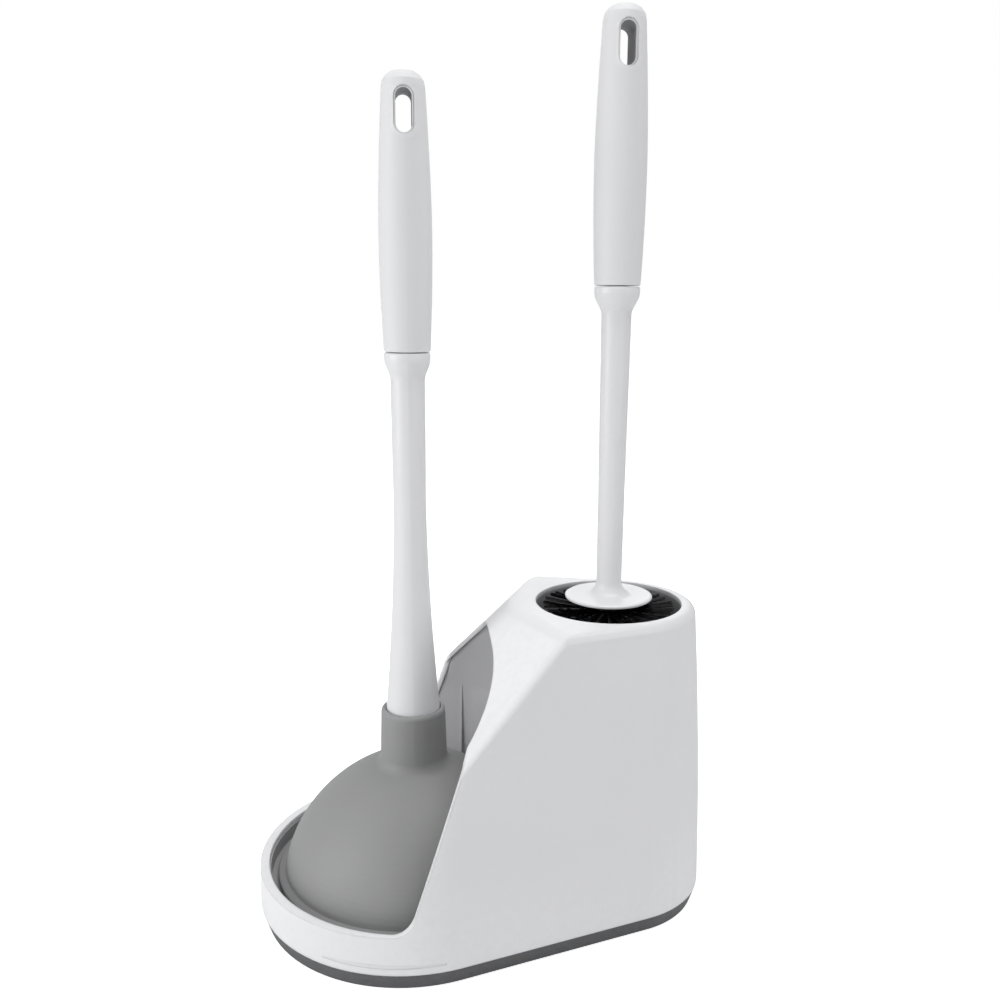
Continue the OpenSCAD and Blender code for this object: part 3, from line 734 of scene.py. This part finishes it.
@dataclass
class BristleHead:
    """Black nylon tufts in tiers around the brush's core. Sizes in millimetres."""

    rings: int = 6
    tiers: int = 15
    tufts: int = 32
    filaments: int = 9
    filament_r: float = 0.24
    filament_steps: int = 3
    filament_sides: int = 3
    taper: float = 0.25
    root_r: float = 0.45
    root_depth: float = 0.8
    tip_r: float = 0.85
    tip_gap: float = 0.5
    top_gap: float = 4.5
    first_tier: float = 2.5
    rod_gap: float = 1.0
    lift: float = 2.0
    narrowing: float = 1.3
    seed: int = 11
    sleeve: Sleeve = Sleeve()
    spread: TuftSpread = TuftSpread()

    def __post_init__(self) -> None:
        """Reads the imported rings' heights and reaches, and the core's axis, once."""
        boxes = [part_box(f"bristle_ring_{i + 1}") for i in range(self.rings)]
        self.profile = [((low.z + high.z) / 2, (high.x - low.x) / 2) for low, high in boxes]
        low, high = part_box("brush_core")
        self.core_top = high.z
        self.foot = Vector(((low.x + high.x) / 2, (low.y + high.y) / 2, boxes[0][0].z))

    def top(self) -> float:
        """Returns the height of the top tier's tips over the floor, in metres."""
        return self.core_top - self.top_gap * MM

    def reach(self, z: float) -> float:
        """Gives how far the tufts reach at a height.

        Args:
            z: Height over the floor, in metres.

        Returns:
            The reach from the axis, in metres.
        """
        (z_first, first), (z_next, second) = self.profile[:2]
        if z <= z_first:
            return first - (z_first - z) / (z_next - z_first) * (second - first) * self.narrowing
        for (z_low, low), (z_high, high) in zip(self.profile, self.profile[1:]):
            if z <= z_high:
                return low + (z - z_low) / (z_high - z_low) * (high - low)
        return self.profile[-1][1]

    def filament(self, points: Points, faces: Faces, root: Vector, tip: Vector, sag: float) -> None:
        """Adds one thin filament that bends a little.

        Args:
            points: The head's vertices so far.
            faces: The head's faces so far.
            root: Where the filament leaves the core.
            tip: Where it ends.
            sag: How far its middle bends up or down, in metres.
        """
        along = (tip - root).normalized()
        side = along.cross(Vector((0, 0, 1))).normalized()
        up = side.cross(along)
        start = len(points)
        steps, sides = self.filament_steps, self.filament_sides
        for i in range(steps + 1):
            share = i / steps
            spot = root.lerp(tip, share) + up * (sag * 4 * share * (1 - share))
            r = self.filament_r * MM * (1.0 - self.taper * share)
            for k in range(sides):
                turn = math.tau * k / sides
                points.append(spot + (side * math.cos(turn) + up * math.sin(turn)) * r)
        for i in range(steps):
            for k in range(sides):
                a = start + sides * i + k
                b = start + sides * i + (k + 1) % sides
                faces.append((a, b, b + sides, a + sides))
        faces.append(tuple(start + k for k in reversed(range(sides))))
        faces.append(tuple(start + sides * steps + k for k in range(sides)))

    def add_sleeve(self, points: Points, faces: Faces) -> None:
        """Adds the sleeve that the tufts are set in.

        Args:
            points: The head's vertices so far.
            faces: The head's faces so far.
        """
        outline = self.sleeve.outline((self.top() - self.foot.z) / MM, self.tiers)
        sides = self.sleeve.sides
        start = len(points)
        for r, z in outline:
            for k in range(sides):
                turn = math.tau * k / sides
                points.append(self.foot + Vector((r * math.cos(turn), r * math.sin(turn), z)) * MM)
        rows = len(outline)
        for i in range(rows):
            below = start + sides * i
            above = start + sides * ((i + 1) % rows)
            for k in range(sides):
                nxt = (k + 1) % sides
                faces.append((below + k, below + nxt, above + nxt, above + k))

    def tuft(self, points: Points, faces: Faces, draw: Random, turn: float, z: float) -> None:
        """Adds one tuft: filaments that leave one hole together and fan out a little.

        Args:
            points: The head's vertices so far.
            faces: The head's faces so far.
            draw: The head's seeded random numbers.
            turn: The tuft's direction around the axis.
            z: Height of the tuft's root over the floor, in metres.
        """
        out = Vector((math.cos(turn), math.sin(turn), 0))
        side = Vector((-out.y, out.x, 0))
        spread = self.spread
        root = self.foot + out * (self.sleeve.radius - self.root_depth) * MM
        root.z = z
        tip = self.foot + out * (self.reach(z) - self.tip_gap * MM)
        tip.z = z + (self.lift + draw.gauss(0, spread.lift)) * MM
        tip += side * draw.gauss(0, spread.sideways) * MM
        sag = draw.gauss(*spread.sag) * MM
        for i in range(self.filaments):
            around = math.tau * i / (self.filaments - 1)
            around += draw.uniform(-spread.around, spread.around)
            share = 0.0 if i == 0 else draw.uniform(*spread.share)
            off = (side * math.cos(around) + Vector((0, 0, 1)) * math.sin(around)) * share * MM
            end = tip + off * self.tip_r + out * draw.uniform(*spread.cut) * MM
            end.z = min(end.z, self.core_top - self.rod_gap * MM)
            self.filament(points, faces, root + off * self.root_r, end, sag)

    def build(self, material: Material) -> Object:
        """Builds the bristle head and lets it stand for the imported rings.

        Args:
            material: The filaments' finish.

        Returns:
            The piece.
        """
        draw = Random(self.seed)
        points: Points = []
        faces: Faces = []
        self.add_sleeve(points, faces)
        foot = self.foot.z + self.first_tier * MM
        pitch = (self.top() - self.lift * MM - foot) / (self.tiers - 1)
        for tier in range(self.tiers):
            for tuft in range(self.tufts):
                turn = math.tau * (tuft + 0.5 * (tier % 2)) / self.tufts
                turn += draw.gauss(0, self.spread.turn)
                self.tuft(points, faces, draw, turn, foot + pitch * tier)
        piece = new_piece("bristle_head", points, faces, Body.BRUSH, material, 70.0)
        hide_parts(*[f"bristle_ring_{i + 1}" for i in range(self.rings)])
        return piece


@dataclass
class Brush:
    """The toilet brush: rod with its splash disc, grip, slot lining, core and bristle head."""

    head: BristleHead = field(default_factory=BristleHead)

    def build(self, finishes: Finishes) -> list[Object]:
        """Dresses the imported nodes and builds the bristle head.

        Args:
            finishes: Materials by name.

        Returns:
            The brush's pieces.
        """
        return [
            dress_node("brush_rod", finishes["handle"]),
            dress_node("brush_grip", finishes["grip"]),
            # The slot's inner walls carry painted shade, and its rims take the grip's white.
            dress_rim(dress_node("brush_slot_lining", finishes["slot"]), finishes["grip"]),
            dress_node("brush_core", finishes["bristle"]),
            self.head.build(finishes["bristle"]),
        ]


# ---------------- plunger


@dataclass
class Plunger:
    """The cup plunger: rubber cup, handle, grip and slot lining."""

    def build(self, finishes: Finishes) -> list[Object]:
        """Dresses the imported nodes.

        Args:
            finishes: Materials by name.

        Returns:
            The plunger's pieces.
        """
        return [
            dress_node("plunger_cup", finishes["cup"]),
            dress_node("plunger_shaft", finishes["handle"]),
            dress_node("plunger_grip", finishes["grip"]),
            # The slot's inner walls carry painted shade, and its rims take the grip's white.
            dress_rim(dress_node("plunger_slot_lining", finishes["slot"]), finishes["grip"]),
        ]


# ---------------- caddy


@dataclass(frozen=True)
class StepCorner:
    """A corner of the step's section. Sizes in millimetres.

    It lies lift over the step's edge, and either sunk under the wall's face or out from it by a
    share of how proud the edge is there.
    """

    lift: float
    share: float = 0.0
    sunk: float = 0.0


@dataclass
class FrontStep:
    """The fine step that runs round the front of the shell, a little over the base.

    Its upper side lies flush with the wall, and its lower edge stands a hair proud, so that a
    thin shadow line shows under it. Sizes in millimetres.
    """

    proud: float = 0.35
    fade: float = 26.0
    steps: int = 72
    back: float = 0.5
    cast_from: float = 200.0
    sides: tuple[tuple[str, int], ...] = (("right", 1), ("left", -1))
    ends: tuple[str, str] = ("step_line_left", "step_line_right")
    section: tuple[StepCorner, ...] = (
        StepCorner(2.6, sunk=0.08), StepCorner(1.17, share=0.42),
        StepCorner(0.0, share=1.0), StepCorner(-0.25, sunk=0.2),
    )

    def __post_init__(self) -> None:
        """Reads the shell's surface, and the step's centre and the turns that it runs between."""
        self.wall = surface_tree("caddy_shell")
        self.low, self.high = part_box("base_plate")
        self.radius = (self.high.x - self.low.x) / 2
        height = place_on(self.wall, *IMAGE_POINTS["front_step_line"]).z
        self.centre = Vector((0.0, self.low.y + self.radius, height))
        places = [place_on(self.wall, *IMAGE_POINTS[end]) for end in self.ends]
        self.turns = [math.atan2(p.x - self.centre.x, self.centre.y - p.y) for p in places]

    def row(self, share: float, side: int) -> Points:
        """Finds the corners of the step's section at one place along it.

        Args:
            share: How far along the step the place is, from 0 to 1.
            side: 1 on the photograph's side of the caddy and -1 on the other.

        Returns:
            The corners, in metres.
        """
        first, last = self.turns
        turn = first + (last - first) * share
        out = Vector((side * math.sin(turn), -math.cos(turn), 0.0))
        near_end = min(share, 1.0 - share) * (last - first) * self.radius / MM / self.fade
        proud = self.proud * MM * min(1.0, near_end)
        row = []
        for corner in self.section:
            start = self.centre + out * (self.cast_from * MM) + Vector((0, 0, corner.lift * MM))
            face, _, _, _ = self.wall.ray_cast(start, -out)
            spot = face + out * (proud * corner.share - corner.sunk * MM)
            spot.x = max(self.low.x, min(self.high.x, spot.x))
            row.append(spot)
        row.append(row[0].lerp(row[-1], 0.5) - out * self.back * MM)
        return row

    def half(self, name: str, side: int, material: Material) -> Object:
        """Builds the step on one side of the caddy.

        Args:
            name: The piece's name.
            side: 1 on the photograph's side of the caddy and -1 on the other.
            material: The shell's finish.

        Returns:
            The piece.
        """
        rows = [self.row(i / self.steps, side) for i in range(self.steps + 1)]
        wide = len(rows[0])
        faces: Faces = []
        for i in range(self.steps):
            for k in range(wide):
                a, b = wide * i + k, wide * i + (k + 1) % wide
                faces.append((a, a + wide, b + wide, b))
        faces.append(tuple(range(wide)))
        faces.append(tuple(wide * self.steps + k for k in reversed(range(wide))))
        if side < 0:
            faces = [face[::-1] for face in faces]
        piece = new_piece(name, sum(rows, []), faces, Body.CADDY, material)
        return piece

    def build(self, material: Material) -> list[Object]:
        """Builds the step on both sides of the caddy.

        Args:
            material: The shell's finish.

        Returns:
            The step's pieces.
        """
        return [self.half(f"front_step_{name}", side, material) for name, side in self.sides]

    @classmethod
    def edge(cls, name: str) -> Points:
        """Gives the step's lower edge, from its front end to its rear end.

        Args:
            name: The step's piece.

        Returns:
            The places along the edge, in metres.
        """
        piece = bpy.data.objects[name]
        corner = [c.share for c in cls.section].index(1.0)
        wide = len(cls.section) + 1
        return [piece.matrix_world @ v.co for v in piece.data.vertices][corner::wide]


@dataclass
class Caddy:
    """The caddy: shell with its front step, base, tray, lining, well and foot pads."""

    step: FrontStep = field(default_factory=FrontStep)

    def build(self, finishes: Finishes) -> list[Object]:
        """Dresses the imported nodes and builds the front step.

        Args:
            finishes: Materials by name.

        Returns:
            The caddy's pieces.
        """
        pads = [f"foot_pad_{end}_{side}" for end in ("front", "rear") for side in ("left", "right")]
        return [
            dress_node("caddy_shell", finishes["shell"]),
            dress_node("base_plate", finishes["base"]),
            dress_node("drip_tray", finishes["lining"]),
            # The bay lining takes the lighter copy of the lining grey, as painted light.
            dress_node("bay_lining", finishes["bay"]),
            dress_node("brush_well", finishes["lining"]),
            *[dress_node(pad, finishes["foot"]) for pad in pads],
            *self.step.build(finishes["shell"]),
        ]


# ---------------- studio


@dataclass(frozen=True)
class SoftBox:
    """One rectangular studio light."""

    name: str
    place: tuple[float, float, float]
    aim: tuple[float, float, float]
    size: Pair
    power: float

    def build(self) -> Object:
        """Creates the light.

        Returns:
            The light object.
        """
        data = bpy.data.lights.new(self.name, "AREA")
        data.shape = "RECTANGLE"
        data.size, data.size_y = self.size
        data.energy = self.power
        light = bpy.data.objects.new(self.name, data)
        way = Vector(self.aim) - Vector(self.place)
        turn = way.to_track_quat("-Z", "Y").to_matrix().to_4x4()
        light.matrix_world = Matrix.Translation(self.place) @ turn
        bpy.context.scene.collection.objects.link(light)
        return light


@dataclass
class Studio:
    """A wide pale floor, soft boxes and an even sky, with the floor's half width in metres."""

    floor_half: float = 60.0
    floor_color: Color = (0.84, 0.84, 0.845)
    floor_rough: float = 0.9
    floor_specular: float = 0.1
    floor_seen: float = 0.85
    sky: float = 0.36
    sky_color: Color = (0.98, 0.99, 1.0)
    boxes: tuple[SoftBox, ...] = (
        SoftBox("key_box", (0.35, -1.25, 0.50), (0.0, -0.02, 0.2), (0.8, 0.8), 8.6),
        SoftBox("top_box", (0.05, 0.20, 1.60), (0.0, 0.0, 0.1), (0.9, 0.9), 10.4),
        SoftBox("fill_box", (1.05, 1.05, 0.50), (0.0, 0.0, 0.2), (0.9, 0.9), 4.3),
        SoftBox("back_box", (-1.30, 0.20, 0.60), (0.0, 0.0, 0.2), (0.9, 0.9), 3.0),
    )

    def floor(self) -> Object:
        """Builds the floor, which is not part of the object.

        Returns:
            The floor.
        """
        mesh = bpy.data.meshes.new("studio_floor")
        half = self.floor_half
        corners = [(-half, -half, 0), (half, -half, 0), (half, half, 0), (-half, half, 0)]
        mesh.from_pydata(corners, [], [(0, 1, 2, 3)])
        floor = bpy.data.objects.new("studio_floor", mesh)
        bpy.context.scene.collection.objects.link(floor)
        made, sheet, shader = new_material("studio_paper", self.floor_color, self.floor_specular)
        shader.inputs["Base Color"].default_value = (*self.floor_color, 1.0)
        shader.inputs["Roughness"].default_value = self.floor_rough
        shader.inputs["Emission Color"].default_value = WHITE
        path = sheet.add("ShaderNodeLightPath")
        glow = sheet.math("MULTIPLY", path.outputs["Is Camera Ray"], self.floor_seen)
        sheet.join(glow, shader.inputs["Emission Strength"])
        mesh.materials.append(made)
        return floor

    def world(self) -> None:
        """Sets the even white sky: the camera sees pure white, the object a softer sky."""
        world = bpy.data.worlds.new("studio_sky")
        world.use_nodes = True
        sheet = NodeSheet(world.node_tree)
        world.node_tree.nodes.clear()
        path = sheet.add("ShaderNodeLightPath")
        seen = sheet.add("ShaderNodeBackground", Color=WHITE, Strength=1.0)
        lit = sheet.add("ShaderNodeBackground", Color=(*self.sky_color, 1.0), Strength=self.sky)
        mix = sheet.add("ShaderNodeMixShader")
        result = sheet.add("ShaderNodeOutputWorld")
        sheet.join(path.outputs["Is Camera Ray"], mix.inputs[0])
        sheet.join(lit.outputs[0], mix.inputs[1])
        sheet.join(seen.outputs[0], mix.inputs[2])
        sheet.join(mix.outputs[0], result.inputs[0])
        bpy.context.scene.world = world

    def build(self) -> None:
        """Builds the floor, the sky and the lights."""
        self.floor()
        self.world()
        for box in self.boxes:
            box.build()
        view = bpy.context.scene.view_settings
        view.view_transform = "Standard"
        view.look = "None"


# ---------------- image points on the finished pieces


def middle(values: list[float]) -> float:
    """Returns the middle between the least and the greatest of some values."""
    return (min(values) + max(values)) / 2


@dataclass
class PointReport:
    """Finds where the features of the image points show on the finished pieces.

    The bands pick out the vertices of a feature by height, by radius or by how far out they lie,
    and the looks pick out the crease's faces by their normal. Sizes in millimetres.
    """

    level: float = 0.1
    grip_end: float = 3.0
    disc_heights: Pair = (178.0, 184.0)
    disc_reach: Pair = (20.0, 30.0)
    hole_reach: Pair = (40.0, 42.0)
    nose_half: float = 4.0
    nose_heights: Pair = (150.0, 172.0)
    crease_heights: Pair = (95.0, 150.0)
    crease_out: float = 30.0
    crease_look_x: float = 0.5
    crease_look_z: Pair = (0.15, 0.55)
    lip_heights: Pair = (30.0, 36.0)
    lip_front: float = -90.0
    seen: dict[str, tuple[float | None, float | None]] = field(default_factory=dict)

    def vertices(self, *names: str) -> Points:
        """Gives the places of every vertex of some pieces.

        Args:
            *names: Objects' names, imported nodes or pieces.

        Returns:
            The places, in metres.
        """
        found: Points = []
        for name in names:
            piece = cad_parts.get(name) or bpy.data.objects[name]
            found += [piece.matrix_world @ v.co for v in piece.data.vertices]
        return found

    def band(self, name: str, low: float, high: float, axis_y: float = 0.0,
             reach: Pair = (0.0, math.inf)) -> list[ImagePoint]:
        """Gives the image points of a piece's vertices in a band of height and of radius.

        Args:
            name: The piece.
            low: The band's lower height, in millimetres.
            high: Its upper height.
            axis_y: The place of the axis along Y, from which the radius counts.
            reach: The least and greatest radius.

        Returns:
            The image points.
        """
        found = []
        for v in self.vertices(name):
            r = math.hypot(v.x, v.y - axis_y * MM) / MM
            if low <= v.z / MM <= high and reach[0] <= r <= reach[1]:
                found.append(CAMERA.image(v))
        return found

    def rim(self, name: str, z: float, axis_y: float = 0.0,
            reach: Pair = (0.0, math.inf)) -> list[ImagePoint]:
        """Gives the image points of a piece's vertices on a level rim, with band's arguments."""
        return self.band(name, z - self.level, z + self.level, axis_y, reach)

    def note(self, name: str, spots: list[ImagePoint], side: Side) -> None:
        """Notes where the outermost of some image points lies.

        Args:
            name: The image point's name.
            spots: The image points of what shows.
            side: Which end of them is meant.
        """
        if side is Side.LEFT:
            self.seen[name] = min(spots)
        elif side is Side.RIGHT:
            self.seen[name] = max(spots)
        else:
            sign = 1 if side is Side.TOP else -1
            y = min(sign * spot[1] for spot in spots) * sign
            self.seen[name] = (middle([x for x, _ in spots]), y)

    def near_point(self, name: str, spots: list[ImagePoint]) -> None:
        """Notes the place on a line or corner that lies nearest its image point.

        Args:
            name: The image point's name.
            spots: The image points of the line's vertices.
        """
        x, y = IMAGE_POINTS[name]
        self.seen[name] = min(spots, key=lambda spot: math.hypot(spot[0] - x, spot[1] - y))

    def crease(self) -> list[ImagePoint]:
        """Gives the image points along the crease between the facet and the side wall.

        Returns:
            The image points of the vertices of the faces that turn from one to the other.
        """
        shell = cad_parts["caddy_shell"]
        least, most = self.crease_look_z
        low, high = self.crease_heights
        spots = []
        for face in shell.data.polygons:
            look = face.normal
            if look.x > self.crease_look_x and least < look.z < most and look.y < 0.0:
                for i in face.vertices:
                    v = shell.matrix_world @ shell.data.vertices[i].co / MM
                    if v.x > self.crease_out and low <= v.z <= high:
                        spots.append(CAMERA.image(v * MM))
        return spots

    def gather_outline(self) -> None:
        """Finds the object's outermost image points on its solid pieces."""
        solid = [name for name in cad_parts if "bristle" not in name]
        xs, ys = zip(*[CAMERA.image(v) for v in self.vertices(*solid)])
        self.seen["object_left"] = (min(xs), None)
        self.seen["object_right"] = (max(xs), None)
        self.seen["object_top"] = (None, min(ys))
        self.seen["object_bottom"] = (None, max(ys))

    def gather_tools(self) -> None:
        """Finds the points of the two handles, the cup's collar and the splash disc."""
        for tool in ("plunger", "brush"):
            seam = self.rim(f"{tool}_grip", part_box(f"{tool}_grip")[0].z / MM)
            self.note(f"{tool}_parting", seam, Side.BOTTOM)
            near = [CAMERA.image(v) for v in self.vertices(f"{tool}_slot_lining") if v.x > 0]
            self.seen[f"{tool}_slot"] = (middle([x for x, _ in near]), middle([y for _, y in near]))
        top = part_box("plunger_grip")[1].z / MM
        self.note("plunger_grip_top", self.band("plunger_grip", top - self.grip_end, top), Side.TOP)
        mouth = self.rim("plunger_cup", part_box("plunger_cup")[1].z / MM)
        self.note("collar_mouth", mouth, Side.BOTTOM)
        disc = self.band("brush_rod", *self.disc_heights, self.brush_y(), self.disc_reach)
        self.note("splash_disc_left", disc, Side.LEFT)
        self.note("splash_disc_right", disc, Side.RIGHT)

    def gather_caddy(self) -> None:
        """Finds the points of the shell's openings, its crease and the front step."""
        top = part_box("caddy_shell")[1].z / MM
        hole = self.rim("caddy_shell", top, self.brush_y(), self.hole_reach)
        self.note("brush_opening_left", hole, Side.LEFT)
        self.note("brush_opening_right", hole, Side.RIGHT)
        shell = [v / MM for v in self.vertices("caddy_shell")]
        low, high = self.nose_heights
        nose = [v for v in shell if abs(v.x) < self.nose_half and low < v.z < high]
        self.near_point("arch_crown", [CAMERA.image(v * MM) for v in nose])
        self.near_point("crease_foot", self.crease())
        low, high = self.lip_heights
        lip = [v for v in shell if low < v.z < high and v.x > 0 and v.y > self.lip_front]
        self.near_point("low_wall_corner", [CAMERA.image(v * MM) for v in lip])
        edge = [CAMERA.image(v) for v in FrontStep.edge("front_step_right")]
        self.near_point("front_step_line", edge)
        self.note("step_line_left", edge, Side.LEFT)
        self.note("step_line_right", edge, Side.RIGHT)

    @staticmethod
    def brush_y() -> float:
        """Returns the place of the brush's axis along Y, in millimetres."""
        return middle([corner.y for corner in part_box("brush_rod")]) / MM

    def gather(self) -> None:
        """Finds where each named point shows on the finished pieces."""
        self.gather_outline()
        self.gather_tools()
        self.gather_caddy()

    def write(self) -> None:
        """Goes through the image points that were found, and writes nothing."""
        for name, (x, y) in IMAGE_POINTS.items():
            if name not in self.seen:
                continue


# ---------------- the whole set


def build_finishes() -> Finishes:
    """Builds every material once.

    Returns:
        The materials by the name that the classes use.
    """
    # The curvature group paints a highlight on edges and shade in hollows.
    groups = {"skin": build_moulded_skin(), "painted_light": build_curvature_light_and_shade(), "tint": build_tint()}
    chosen = {
        "shell": WHITE_SHELL, "handle": WHITE_HANDLE, "grip": WHITE_GRIP, "slot": SLOT_PAINTED_SHADE,
        "base": BASE_GREY, "lining": LINING_GREY, "bay": BAY_LINING_PAINTED_LIGHT, "cup": CUP_RUBBER,
        "foot": FOOT_RUBBER, "bristle": BLACK_NYLON,
    }
    return {name: finish.material(groups) for name, finish in chosen.items()}


def main() -> None:
    """Builds the looks in order."""
    logging.basicConfig(level=logging.INFO, format="%(name)s: %(message)s")
    CAMERA.build()
    finishes = build_finishes()
    for part in (Caddy(), Plunger(), Brush()):
        for piece in part.build(finishes):
            log.info("%s: %s, %d faces", type(part).__name__, piece.name, len(piece.data.polygons))
    Studio().build()
    report = PointReport()
    report.gather()
    report.write()


if __name__ == "__main__":
    main()
